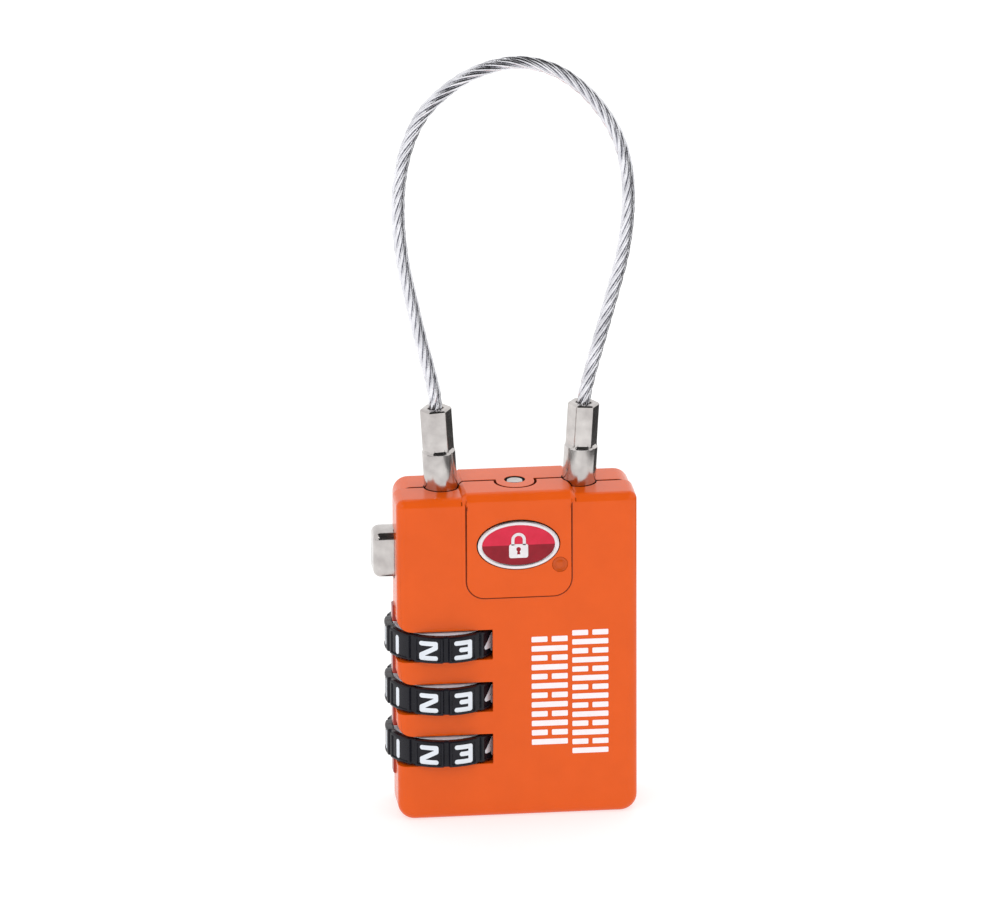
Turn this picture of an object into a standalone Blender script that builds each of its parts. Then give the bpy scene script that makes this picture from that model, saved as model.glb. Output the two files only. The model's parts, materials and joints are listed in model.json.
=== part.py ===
"""Luggage combination padlock with a cable shackle.

Metres, +Z up. The origin is the centre of the body's bottom face, +X points
to the release side, -Y is the front with the dials' reading side.
Lengths below are in millimetres and are scaled by MM where meshes are made.
"""

import math

import bmesh
import bpy
from mathutils import Matrix, Vector

MM = 0.001
NAME = "luggage_combination_padlock"

# Body
BODY_T, BODY_H = 11.6, 44.2
FRONT_X, BACK_X = (-16.0, 15.6), (-15.5, 15.6)
FRONT_TOP_R, BACK_TOP_R, BOTTOM_R, EDGE_R = 1.25, 2.0, 2.2, 1.1
SEAM_GAP = 0.2
PANEL_W, PANEL_Z0, PANEL_R = 13.9, 30.5, 2.5
PANEL_PROUD, PANEL_TOP = 0.25, 0.6
GUARD_Z = (5.34, 28.72)
GUARD_X, GUARD_FRONT_Y = -16.3, -2.2
GUARD_END = (-2.2, 2.85)
BOSS_X, BOSS_Y, BOSS_R, BOSS_Z0 = 0.1, -0.75, 2.5, 42.3
BOSS_GAP, BADGE_GAP = 0.22, 0.15
TONGUE_X, TONGUE_Y, TONGUE_Z = (-2.0, 2.0), (-1.0, 1.4), (-1.0, 2.0)
TONGUE_GAP = 0.15
FAR = 30.0

# Dials, stacked on one axis
DIAL_X, DIAL_R, DIAL_HALF_H, DIAL_BORE = -9.55, 7.6, 1.8, 6.6
DIAL_Z = (24.05, 16.82, 9.6)
DIAL_POSITIONS = 10
FLUTE_DEPTH, DIAL_CHAMFER = 0.25, 0.4
SLOT_HALF_H, SLOT_RIGHT, SLOT_R = 2.05, -3.5, 7.9
LAND_ROUND_X, LAND_ROUND_Z = 2.2, 1.7
CORE_R, CORE_BORE = 6.5, 3.65
SLEEVE_R, SLEEVE_BORE, GATE_BORE = 3.4, 2.5, 1.25
SLEEVE_LOW, SLEEVE_HIGH = -2.7, 4.2
GATE_LOW, GATE_HIGH = 0.1, 0.7
FLUTE_START, FLUTE_FLAT = 12.5, 15.5
WASHER_R, WASHER_BORE, WASHER_Z = 3.3, 1.65, (6.2, 6.5)
LEAF_X, LEAF_TIP, LEAF_Z, LEAF_HALF_Y = (-0.9, -0.6), -1.65, (7.2, 27.0), 1.4

# Spindle
SPINDLE_R, SPINDLE_TIP_Z, SPINDLE_FOOT_Z = 0.85, 32.3, 5.2
SPINDLE_FOOT_R, SPINDLE_FOOT_H = 1.5, 0.4
LUG_LOW, LUG_HIGH, LUG_REACH, LUG_HALF_W = 0.95, 1.55, 2.1, 0.45

# Button and latch plate
TRAVEL = 2.3
BUTTON_X, BUTTON_Z, BUTTON_HALF_Y = (-18.7, -13.2), (32.55, 38.8), 2.35
FLANGE_X, FLANGE_Z, FLANGE_HALF_Y = (-13.7, -13.0), (30.5, 38.2), 3.2
WEDGE_TOP, WEDGE_GAP, WEDGE_HALF_Y = 35.2, 0.35, 1.5
PLATE_X, PLATE_Z, PLATE_HALF_Y = (-12.4, 11.6), (35.5, 36.5), 3.2
CHAMBER_X, CHAMBER_Z, CHAMBER_HALF_Y = (-14.0, -5.7), (30.1, 38.8), 3.5
POST_X, POST_HALF_Y = (1.2, 2.2), 1.25
PLATE_WINDOW_X, PLATE_WINDOW_Y, EYE_HALF_Y, SLIDE_GAP = -5.0, 1.6, 2.5, 0.3
BUTTON_GAP = 0.25

# Ferrules and cable
FERRULE_TILT = math.radians(3.5)
CAPTIVE_X, RELEASE_X = -9.57, 8.55
PIN_R, CRIMP_R, BORE_R, CABLE_R, CABLE_HOLE_R = 2.2, 1.98, 2.5, 0.875, 1.02
PIN_TOP, CRIMP_TOP, CABLE_SEAT = 5.0, 10.9, 5.2
RELEASE_BOTTOM, EJECTOR_BOTTOM = -13.6, -19.7
CAPTIVE_BOTTOM, CLIP_GROOVE, CLIP_R = -5.2, (-4.8, -3.95), (1.8, 2.85)
CLIP_Z, RELEASE_GROOVE_R = (-4.65, -4.1), 1.3

# Reset pin, key cylinder
RESET_X, RESET_R, RESET_TOP = 0.1, 1.15, 44.7
RESET_COLLAR_R, RESET_COLLAR_Z, RESET_TAIL_R, RESET_TAIL_Z = 1.95, (41.0, 41.7), 0.75, 39.2
KEY_X, HOUSING_R, PLUG_R = 8.6, 3.45, 2.05
HOUSING_Z, PLUG_Z = (0.3, 16.0), (0.5, 16.2)
STEM_Z, STEM_R, STEM_BORE = 18.0, 1.1, 0.65
KEYWAY_HALF, KEYWAY_TOP = (0.5, 1.45), 11.4
WAFER_ROOM_HALF, WAFER_HALF, WAFER_HOLE_HALF = (1.25, 3.0, 0.45), (1.0, 1.95, 0.25), (0.5, 1.3)
CAM_Z, CAM_R, CAM_BORE, CAM_ARM = (16.5, 17.6), 2.0, 1.4, (3.3, 0.7)
WAFER_Z = (3.0, 5.2, 7.4, 9.6)
CASE_PIN_R, CASE_PIN_HALF = 0.7, 2.9
CASE_PINS = ((2.2, 3.6), (2.2, 30.4), (12.9, 41.0), (-13.3, 2.6))

# Badge on the front panel
BADGE_X, BADGE_Z, BADGE_A, BADGE_B = -0.1, 37.8, 5.35, 3.3
BADGE_RIM, INLAY_INSET, BADGE_PROUD = 0.6, 0.75, 0.25
DIMPLE_X, DIMPLE_Z, DIMPLE_R = 5.37, 34.86, 1.05

# Cable route in the plane of the body, from one ferrule's mouth to the other's
ROUTE = (
    (-10.5, 57.6), (-11.4, 61.5), (-12.4, 65.6), (-13.3, 69.8), (-14.2, 74.0),
    (-14.75, 78.0), (-14.95, 82.0), (-14.75, 86.0), (-13.85, 90.4), (-12.0, 94.5),
    (-9.0, 97.75), (-4.8, 100.4), (0.2, 101.55), (4.8, 100.65), (8.6, 98.2),
    (11.6, 94.8), (13.7, 91.0), (14.8, 87.0), (15.1, 83.0), (14.9, 79.0),
    (14.3, 75.0), (13.3, 71.0), (12.2, 67.0), (11.1, 63.0), (9.9, 58.6),
)

# Colours: base colour, roughness, metallic
FINISHES = {
    "paint": ((0.80, 0.13, 0.012), 0.28, 0.0),
    "dial_black": ((0.012, 0.012, 0.014), 0.25, 0.0),
    "dial_white": ((0.80, 0.80, 0.78), 0.4, 0.0),
    "nickel": ((0.72, 0.71, 0.69), 0.22, 1.0),
    "steel": ((0.55, 0.55, 0.56), 0.35, 1.0),
    "brass": ((0.70, 0.50, 0.22), 0.35, 1.0),
    "enamel_red": ((0.55, 0.015, 0.02), 0.2, 0.0),
    "cable": ((0.60, 0.61, 0.62), 0.3, 1.0),
}


def clear_scene():
    for found in list(bpy.data.objects):
        bpy.data.objects.remove(found, do_unlink=True)


def collection(name):
    made = bpy.data.collections.new(name)
    bpy.context.scene.collection.children.link(made)
    return made


clear_scene()
PARTS = collection(NAME)
CUTTERS = collection("cutters")


def finish(name, slot):
    """A Principled material for one sub-part."""
    colour, roughness, metallic = FINISHES[slot]
    made = bpy.data.materials.new(name)
    made.use_nodes = True
    shader = made.node_tree.nodes["Principled BSDF"]
    shader.inputs["Base Color"].default_value = (*colour, 1.0)
    shader.inputs["Roughness"].default_value = roughness
    shader.inputs["Metallic"].default_value = metallic
    return made


def add_part(obj, slot):
    obj.data.materials.clear()
    obj.data.materials.append(finish(obj.name, slot))
    PARTS.objects.link(obj)
    return obj


def add_cutter(obj):
    obj.hide_render = True
    obj.display_type = "WIRE"
    CUTTERS.objects.link(obj)
    return obj


def from_bmesh(name, bm, origin=(0, 0, 0)):
    """An object whose mesh is bm, in millimetres around origin."""
    mesh = bpy.data.meshes.new(name)
    bmesh.ops.scale(bm, vec=(MM, MM, MM), verts=bm.verts)
    bmesh.ops.recalc_face_normals(bm, faces=bm.faces)
    bm.to_mesh(mesh)
    bm.free()
    obj = bpy.data.objects.new(name, mesh)
    obj.location = Vector(origin) * MM
    return obj


def smooth(obj, angle=35):
    obj.data.shade_smooth()
    obj.data.set_sharp_from_angle(angle=math.radians(angle))
    return obj


def box(name, x, y, z, origin=(0, 0, 0), bevel=0.0):
    """A block between two values on each axis, its edges bevelled if asked."""
    bm = bmesh.new()
    bmesh.ops.create_cube(bm, size=1.0)
    sides = [Vector(side) for side in zip(x, y, z)]
    centre = (sides[0] + sides[1]) / 2 - Vector(origin)
    bmesh.ops.scale(bm, vec=sides[1] - sides[0], verts=bm.verts)
    bmesh.ops.translate(bm, vec=centre, verts=bm.verts)
    if bevel:
        bmesh.ops.bevel(bm, geom=bm.edges[:], offset=bevel, segments=2, profile=0.5, affect="EDGES")
    return from_bmesh(name, bm, origin)


def cylinder(name, radius, low, high, origin=(0, 0, 0), axis="Z", segments=24):
    """A cylinder along an axis, from low to high measured from origin."""
    bm = bmesh.new()
    shape = Matrix.Translation((0, 0, (low + high) / 2))
    bmesh.ops.create_cone(
        bm, cap_ends=True, segments=segments, radius1=radius, radius2=radius,
        depth=high - low, matrix=shape,
    )
    turn = {"X": Matrix.Rotation(math.pi / 2, 4, "Y"), "Y": Matrix.Rotation(-math.pi / 2, 4, "X")}
    if axis in turn:
        bmesh.ops.transform(bm, matrix=turn[axis], verts=bm.verts)
    return from_bmesh(name, bm, origin)


def turned(name, profile, origin=(0, 0, 0), tilt=0.0, segments=32):
    """A turned piece: profile is (radius, height) down its outer side; a ring's profile is closed."""
    mesh = bpy.data.meshes.new(name)
    ring = all(radius > 0 for radius, _ in profile)
    points = [(radius * MM, 0, height * MM) for radius, height in profile]
    edges = [(i, i + 1) for i in range(len(points) - 1)]
    if ring:
        edges.append((len(points) - 1, 0))
    mesh.from_pydata(points, edges, [])
    obj = bpy.data.objects.new(name, mesh)
    obj.location = Vector(origin) * MM
    obj.rotation_euler = (0, tilt, 0)
    screw = obj.modifiers.new("turn", "SCREW")
    screw.steps = screw.render_steps = segments
    screw.use_merge_vertices = True
    screw.merge_threshold = 0.000001
    screw.use_smooth_shade = True
    return obj


def extruded(name, outlines, low, high, origin=(0, 0, 0), plane="XY", chamfer=0.0):
    """A flat outline with holes, extruded between two heights; plane XZ extrudes towards -Y."""
    curve = bpy.data.curves.new(name, "CURVE")
    curve.dimensions = "2D"
    curve.fill_mode = "BOTH"
    curve.extrude = ((high - low) / 2 - chamfer) * MM
    curve.bevel_depth = chamfer * MM
    curve.bevel_resolution = 0
    for outline in outlines:
        spline = curve.splines.new("POLY")
        spline.points.add(len(outline) - 1)
        for point, (u, v) in zip(spline.points, outline):
            point.co = (u * MM, v * MM, 0, 1)
        spline.use_cyclic_u = True
    guide = bpy.data.objects.new(name + "_outline", curve)
    shift = Matrix.Translation((0, 0, (low + high) / 2 * MM))
    turn = Matrix.Rotation(math.pi / 2, 4, "X") if plane == "XZ" else Matrix.Identity(4)
    return as_mesh(name, guide, Matrix.Translation(Vector(origin) * MM), turn @ shift)


def as_mesh(name, guide, placed, local=Matrix.Identity(4)):
    """The curve object as a welded mesh object, and the curve removed."""
    bpy.context.scene.collection.objects.link(guide)
    evaluated = guide.evaluated_get(bpy.context.evaluated_depsgraph_get())
    mesh = bpy.data.meshes.new_from_object(evaluated)
    bpy.data.objects.remove(guide, do_unlink=True)
    bm = bmesh.new()
    bm.from_mesh(mesh)
    bmesh.ops.remove_doubles(bm, verts=bm.verts, dist=0.000002)
    bmesh.ops.transform(bm, matrix=local, verts=bm.verts)
    bmesh.ops.recalc_face_normals(bm, faces=bm.faces)
    bm.to_mesh(mesh)
    bm.free()
    mesh.name = name
    obj = bpy.data.objects.new(name, mesh)
    obj.matrix_world = placed
    return obj


def tube(name, points, radius, resolution=2, origin=(0, 0, 0), tilt=0.0):
    """A round wire through points, with closed ends."""
    curve = bpy.data.curves.new(name, "CURVE")
    curve.dimensions = "3D"
    curve.bevel_depth = radius * MM
    curve.bevel_resolution = resolution
    curve.use_fill_caps = True
    spline = curve.splines.new("POLY")
    spline.points.add(len(points) - 1)
    for point, place in zip(spline.points, points):
        point.co = (*(Vector(place) * MM), 1)
    obj = bpy.data.objects.new(name, curve)
    obj.location = Vector(origin) * MM
    obj.rotation_euler = (0, tilt, 0)
    return obj


def coil(low, high, radius, turns, axis="Z", steps=10):
    """Points along a compression spring."""
    count = round(turns * steps)
    places = []
    for i in range(count + 1):
        angle = math.tau * i / steps
        height = low + (high - low) * i / count
        u, v = radius * math.cos(angle), radius * math.sin(angle)
        places.append((u, v, height) if axis == "Z" else (height, u, v))
    return places


def boolean(obj, other, operation):
    step = obj.modifiers.new(operation.lower() + "_" + other.name, "BOOLEAN")
    step.operation = operation
    step.object = other
    step.solver = "EXACT"


def cut(obj, *others):
    for other in others:
        boolean(obj, other, "DIFFERENCE")
    return obj


def joined(obj, *others):
    for other in others:
        boolean(obj, other, "UNION")
    return obj


def arc(centre, radius, start, end, steps):
    """Points on an arc, angles in degrees, both ends included."""
    angles = [math.radians(start + (end - start) * i / steps) for i in range(steps + 1)]
    return [(centre[0] + radius * math.cos(a), centre[1] + radius * math.sin(a)) for a in angles]


def ellipse(centre, a, b, steps=32):
    angles = [math.tau * i / steps for i in range(steps)]
    return [(centre[0] + a * math.cos(t), centre[1] + b * math.sin(t)) for t in angles]


def rectangle(x, y):
    return [(x[0], y[0]), (x[1], y[0]), (x[1], y[1]), (x[0], y[1])]


def body_block(name, x, top_r):
    """The outer body between two sides: rounded corners seen from the front, then rounded edges."""
    bm = bmesh.new()
    bmesh.ops.create_cube(bm, size=1.0)
    bmesh.ops.scale(bm, vec=(x[1] - x[0], BODY_T, BODY_H), verts=bm.verts)
    bmesh.ops.translate(bm, vec=((x[0] + x[1]) / 2, 0, BODY_H / 2), verts=bm.verts)
    corners = [e for e in bm.edges if abs(e.verts[0].co.y - e.verts[1].co.y) > 1]
    top = [e for e in corners if e.verts[0].co.z > BODY_H / 2]
    bottom = [e for e in corners if e.verts[0].co.z < BODY_H / 2]
    bmesh.ops.bevel(bm, geom=top, offset=top_r, segments=4, profile=0.5, affect="EDGES")
    bottom = [e for e in bottom if e.is_valid]
    bmesh.ops.bevel(bm, geom=bottom, offset=BOTTOM_R, segments=5, profile=0.5, affect="EDGES")
    rims = [e for e in bm.edges if abs(e.verts[0].co.y - e.verts[1].co.y) < 0.01 and len(e.link_faces) == 2]
    rims = [e for e in rims if abs(e.link_faces[0].normal.y) > 0.9 or abs(e.link_faces[1].normal.y) > 0.9]
    bmesh.ops.bevel(bm, geom=rims, offset=EDGE_R, segments=3, profile=0.5, affect="EDGES")
    return from_bmesh(name, bm)


def panel_block(name):
    """The raised U-shaped panel, which runs over the top of the body from front to back."""
    half_y = BODY_T / 2 + PANEL_PROUD
    top = BODY_H + PANEL_TOP
    half_w = PANEL_W / 2
    bm = bmesh.new()
    bmesh.ops.create_cube(bm, size=1.0)
    bmesh.ops.scale(bm, vec=(PANEL_W, 2 * half_y, top - PANEL_Z0), verts=bm.verts)
    bmesh.ops.translate(bm, vec=(0, 0, (top + PANEL_Z0) / 2), verts=bm.verts)
    low = [e for e in bm.edges if all(v.co.z < PANEL_Z0 + 0.01 for v in e.verts)]
    low = [e for e in low if all(abs(abs(v.co.x) - half_w) < 0.01 for v in e.verts) and e.calc_length() > 1]
    low = [e for e in low if abs(e.verts[0].co.y - e.verts[1].co.y) > 1]
    bmesh.ops.bevel(bm, geom=low, offset=PANEL_R, segments=5, profile=0.5, affect="EDGES")
    high = [e for e in bm.edges if all(v.co.z > top - 0.01 for v in e.verts)]
    high = [e for e in high if abs(e.verts[0].co.x - e.verts[1].co.x) > 1]
    bmesh.ops.bevel(bm, geom=high, offset=EDGE_R + 0.2, segments=3, profile=0.5, affect="EDGES")
    return from_bmesh(name, bm)


def slot_cutter(name, z):
    """The window for one dial: open to the front, the back and the left, round on the right inside."""
    reach = SLOT_RIGHT - DIAL_X
    side = math.degrees(math.acos(reach / SLOT_R))
    outline = [(-20.0, -8.0), (SLOT_RIGHT, -8.0)]
    outline += arc((DIAL_X, 0), SLOT_R, -side, side, 14)
    outline += [(SLOT_RIGHT, 8.0), (-20.0, 8.0)]
    return extruded(name, [outline], z - SLOT_HALF_H, z + SLOT_HALF_H)


def land_cutter(name, z):
    """Rounds the lower left corner of the land above one dial's window."""
    foot = z + SLOT_HALF_H
    middle = (FRONT_X[0] + LAND_ROUND_X, foot + LAND_ROUND_Z)
    turns = [math.radians(180 + 9 * i) for i in range(11)]
    outline = [(-20.0, foot - 0.1), (-20.0, middle[1])]
    for t in turns:
        outline.append((middle[0] + LAND_ROUND_X * math.cos(t), middle[1] + LAND_ROUND_Z * math.sin(t)))
    outline.append((middle[0], foot - 0.1))
    return extruded(name, [outline], -8.0, 8.0, plane="XZ")


def shell_cutters():
    """Everything hollow inside the body, the same for both shells."""
    found = [slot_cutter(f"cut_slot_{i + 1}", z) for i, z in enumerate(DIAL_Z)]
    dial = (DIAL_X, 0, 0)
    sleeve_z = (WASHER_Z[0] - 0.2, DIAL_Z[0] + SLEEVE_HIGH + 0.3)
    found.append(cylinder("cut_sleeve_bore", SLEEVE_R + 0.3, *sleeve_z, dial))
    hole_z = (sleeve_z[1] - 1.0, CHAMBER_Z[0] + 0.9)
    found.append(cylinder("cut_spindle_hole", SPINDLE_R + 0.3, *hole_z, dial, segments=16))
    pocket_z = (1.0, sleeve_z[0] + 0.3)
    found.append(cylinder("cut_spindle_pocket", SPINDLE_FOOT_R + 0.4, *pocket_z, dial, segments=16))
    half = (-CHAMBER_HALF_Y, CHAMBER_HALF_Y)
    found.append(box("cut_button_chamber", CHAMBER_X, half, CHAMBER_Z))
    opening = (-BUTTON_HALF_Y - BUTTON_GAP, BUTTON_HALF_Y + BUTTON_GAP)
    opening_z = (BUTTON_Z[0] - BUTTON_GAP, BUTTON_Z[1] + BUTTON_GAP)
    found.append(box("cut_button_opening", (-FAR, CHAMBER_X[0] + 0.2), opening, opening_z))
    slide_z = (PLATE_Z[0] - SLIDE_GAP, PLATE_Z[1] + SLIDE_GAP)
    slide_y = (-PLATE_HALF_Y - 0.4, PLATE_HALF_Y + 0.4)
    slide_x = (CHAMBER_X[1] - SLIDE_GAP, PLATE_X[1] + TRAVEL + SLIDE_GAP)
    slide = box("cut_plate_slot", slide_x, slide_y, slide_z)
    post_z = (slide_z[0] - 1.0, slide_z[1] + 1.0)
    post = add_cutter(box("keep_spring_post", POST_X, (-POST_HALF_Y, POST_HALF_Y), post_z))
    found.append(cut(slide, post))
    plate_middle = (0, 0, sum(PLATE_Z) / 2)
    found.append(cylinder("cut_button_spring", 1.35, -5.2, 1.0, plate_middle, axis="X", segments=16))
    bores = (
        ("captive", CAPTIVE_X, -1, CAPTIVE_BOTTOM - 0.5),
        ("release", RELEASE_X, 1, EJECTOR_BOTTOM - 0.2),
    )
    for name, x, lean, depth in bores:
        bore = cylinder(f"cut_{name}_bore", BORE_R, depth, 3.0, (x, 0, BODY_H))
        bore.rotation_euler = (0, lean * FERRULE_TILT, 0)
        found.append(bore)
    clip_z = (CLIP_Z[0] - SLIDE_GAP, CLIP_Z[1] + SLIDE_GAP)
    clip = cylinder("cut_clip_pocket", CLIP_R[1] + 0.4, *clip_z, (CAPTIVE_X, 0, BODY_H))
    clip.rotation_euler = (0, -FERRULE_TILT, 0)
    found.append(clip)
    reset = (RESET_X, 0, 0)
    reset_z = (RESET_TAIL_Z - 1.3, RESET_COLLAR_Z[1] + SLIDE_GAP)
    found.append(cylinder("cut_reset_pocket", RESET_COLLAR_R + 0.35, *reset_z, reset))
    found.append(cylinder("cut_reset_hole", RESET_R + 0.2, reset_z[1] - 0.5, FAR + BODY_H, reset))
    found.append(cylinder("cut_key_bore", HOUSING_R + SLIDE_GAP, -1.0, STEM_Z + 2.0, (KEY_X, 0, 0)))
    leaf_x = (LEAF_TIP - 0.1, LEAF_X[1] + SLIDE_GAP)
    leaf_z = (LEAF_Z[0] - SLIDE_GAP, LEAF_Z[1] + SLIDE_GAP)
    found.append(box("cut_click_pocket", leaf_x, (-LEAF_HALF_Y - 0.6, LEAF_HALF_Y + 0.6), leaf_z))
    pin_z = (-CASE_PIN_HALF - SLIDE_GAP, CASE_PIN_HALF + SLIDE_GAP)
    for i, (x, z) in enumerate(CASE_PINS):
        at = (x, 0, z)
        found.append(cylinder(f"cut_case_pin_{i + 1}", CASE_PIN_R + 0.2, *pin_z, at, axis="Y", segments=12))
    return [add_cutter(cutter) for cutter in found]


def boss_outline(spare):
    radius = BOSS_R + spare
    outline = arc((BOSS_X, BOSS_Y), radius, 180, 360, 12)
    return outline + [(BOSS_X + radius, 1.0), (BOSS_X - radius, 1.0)]


def make_shells():
    panel = add_cutter(panel_block("join_panel"))
    guard = box("join_guard", (GUARD_X, GUARD_X + 2.0), (GUARD_FRONT_Y, 0.5), GUARD_Z, bevel=0.25)
    for i, z in enumerate(DIAL_Z):
        gap = [z + end for end in GUARD_END]
        cut(guard, add_cutter(box(f"cut_guard_{i + 1}", (-FAR, FAR), (-FAR, FAR), gap)))
    add_cutter(guard)
    lands = [add_cutter(land_cutter(f"cut_land_{i + 1}", z)) for i, z in enumerate(DIAL_Z)]
    hollows = shell_cutters()
    half = SEAM_GAP / 2
    wide, tall = (-FAR, FAR), (-FAR, BODY_H + FAR)
    front_side = box("cut_front_side", wide, (-FAR, half), tall)
    boss = add_cutter(extruded("keep_boss", [boss_outline(0.0)], BOSS_Z0, BODY_H + 2.0))
    add_cutter(cut(front_side, boss))
    tongue = add_cutter(box("keep_tongue", TONGUE_X, TONGUE_Y, TONGUE_Z))
    room = [(low - TONGUE_GAP, high + TONGUE_GAP) for low, high in (TONGUE_X, TONGUE_Y, TONGUE_Z)]
    tongue_room = add_cutter(box("cut_tongue_room", *room))
    back_side = add_cutter(cut(box("cut_back_side", wide, (-half, FAR), tall), tongue))
    spare = boss_outline(BOSS_GAP)
    boss_room = add_cutter(extruded("cut_boss_room", [spare], BOSS_Z0 - 0.3, BODY_H + 3.0))
    badge_room = add_cutter(extruded(
        "cut_badge_room", [ellipse((BADGE_X, BADGE_Z), BADGE_A + BADGE_GAP, BADGE_B + BADGE_GAP)],
        BODY_T / 2 - 0.2, BODY_T / 2 + 2.0, plane="XZ",
    ))
    dimple = add_cutter(cylinder(
        "cut_dimple", DIMPLE_R, -BODY_T / 2 - 2.0, -BODY_T / 2, (DIMPLE_X, 0, DIMPLE_Z), axis="Y",
        segments=16,
    ))
    front = joined(cut(body_block("front_shell", FRONT_X, FRONT_TOP_R), *lands), panel, guard)
    cut(front, back_side, *hollows, boss_room, badge_room, dimple)
    back = joined(cut(body_block("back_shell", BACK_X, BACK_TOP_R), *lands), panel)
    cut(back, front_side, tongue_room, *hollows)
    for shell in (front, back):
        add_part(smooth(shell), "paint")


def make_badge():
    centre = (BADGE_X, BADGE_Z)
    face = BODY_T / 2 + PANEL_PROUD
    plate = extruded(
        "badge_plate", [ellipse(centre, BADGE_A, BADGE_B)], face - 0.4, face + BADGE_PROUD, plane="XZ",
    )
    hollow = ellipse(centre, BADGE_A - BADGE_RIM, BADGE_B - BADGE_RIM)
    well = add_cutter(extruded("cut_badge_well", [hollow], face - 0.05, face + 1.0, plane="XZ"))
    add_part(cut(plate, well), "nickel")
    filling = ellipse(centre, BADGE_A - INLAY_INSET, BADGE_B - INLAY_INSET)
    inlay = extruded("badge_inlay", [filling], face, face + BADGE_PROUD - 0.05, plane="XZ")
    add_part(inlay, "enamel_red")


def fluted_outline(radius):
    """The dial's rim: a land for each numeral, with a shallow flute between neighbours."""
    pitch = 360 / DIAL_POSITIONS
    points = []
    for i in range(DIAL_POSITIONS):
        start = i * pitch
        points += arc((0, 0), radius, start - FLUTE_START, start + FLUTE_START, 4)
        points += arc((0, 0), radius - FLUTE_DEPTH, start + FLUTE_FLAT, start + pitch - FLUTE_FLAT, 1)
    return points


def make_dials():
    bore = DIAL_BORE + DIAL_CHAMFER
    for i, z in enumerate(DIAL_Z):
        at = (DIAL_X, 0, z)
        rim = fluted_outline(DIAL_R - DIAL_CHAMFER)
        hole = ellipse((0, 0), bore, bore, 40)
        dial = extruded(f"dial_{i + 1}", [rim, hole], -DIAL_HALF_H, DIAL_HALF_H, at, chamfer=DIAL_CHAMFER)
        add_part(smooth(dial), "dial_black")
        top, low = DIAL_HALF_H, -DIAL_HALF_H
        ring = [(CORE_R, top), (CORE_R, low), (CORE_BORE, low), (CORE_BORE, top)]
        add_part(turned(f"dial_core_{i + 1}", ring, at, segments=36), "dial_white")
        sleeve = [
            (SLEEVE_R, SLEEVE_HIGH), (SLEEVE_R, SLEEVE_LOW), (SLEEVE_BORE, SLEEVE_LOW),
            (SLEEVE_BORE, GATE_LOW), (GATE_BORE, GATE_LOW), (GATE_BORE, GATE_HIGH),
            (SLEEVE_BORE, GATE_HIGH), (SLEEVE_BORE, SLEEVE_HIGH),
        ]
        gate = add_cutter(box(f"cut_gate_{i + 1}", (0.6, SLEEVE_BORE - 0.05), (-0.75, 0.75), (-0.4, 1.2)))
        gate.location = Vector(at) * MM
        add_part(cut(turned(f"sleeve_{i + 1}", sleeve, at, segments=24), gate), "brass")


def make_spindle():
    dome = [(x, y) for x, y in reversed(arc((0, SPINDLE_TIP_Z), SPINDLE_R, 0, 90, 5))]
    dome[0] = (0.0, SPINDLE_TIP_Z + SPINDLE_R)
    foot = SPINDLE_FOOT_Z
    foot_top = foot + SPINDLE_FOOT_H
    profile = dome + [(SPINDLE_R, foot_top), (SPINDLE_FOOT_R, foot_top), (SPINDLE_FOOT_R, foot), (0.0, foot)]
    spindle = turned("spindle", profile, (DIAL_X, 0, 0), segments=16)
    for i, z in enumerate(DIAL_Z):
        x = (DIAL_X, DIAL_X + LUG_REACH)
        lug = box(f"join_lug_{i + 1}", x, (-LUG_HALF_W, LUG_HALF_W), (z + LUG_LOW, z + LUG_HIGH))
        joined(spindle, add_cutter(lug))
    add_part(spindle, "steel")
    add_part(tube("spindle_spring", coil(1.4, foot - 0.25, 1.25, 4), 0.17, 1, (DIAL_X, 0, 0)), "steel")
    low, high = WASHER_Z
    washer = [(WASHER_R, high), (WASHER_R, low), (WASHER_BORE, low), (WASHER_BORE, high)]
    add_part(turned("thrust_washer", washer, (DIAL_X, 0, 0), segments=24), "steel")


def make_click_spring():
    """A leaf spring with one rounded finger tip for each dial."""
    face, back = LEAF_X
    outline = [(back, LEAF_Z[0]), (back, LEAF_Z[1]), (face, LEAF_Z[1])]
    for z in DIAL_Z:
        outline += [(face, z + 1.2), (LEAF_TIP, z + 0.25), (LEAF_TIP, z - 0.25), (face, z - 1.2)]
    outline.append((face, LEAF_Z[0]))
    add_part(extruded("click_spring", [outline], -LEAF_HALF_Y, LEAF_HALF_Y, plane="XZ"), "steel")


def make_button():
    half = (-BUTTON_HALF_Y, BUTTON_HALF_Y)
    origin = (BUTTON_X[0], 0, sum(BUTTON_Z) / 2)
    button = box("push_button", BUTTON_X, half, BUTTON_Z, origin, bevel=0.7)
    flange = box("join_button_flange", FLANGE_X, (-FLANGE_HALF_Y, FLANGE_HALF_Y), FLANGE_Z)
    offset = SPINDLE_TIP_Z - DIAL_X + (SPINDLE_R + WEDGE_GAP) * math.sqrt(2)
    left, low, high = FLANGE_X[0] + 0.2, FLANGE_Z[0] + 0.1, WEDGE_TOP
    outline = [(left, low), (low - offset, low), (high - offset, high), (left, high)]
    wedge = extruded("join_button_wedge", [outline], -WEDGE_HALF_Y, WEDGE_HALF_Y, plane="XZ")
    joined(button, add_cutter(flange), add_cutter(wedge))
    add_part(smooth(button), "nickel")


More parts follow.
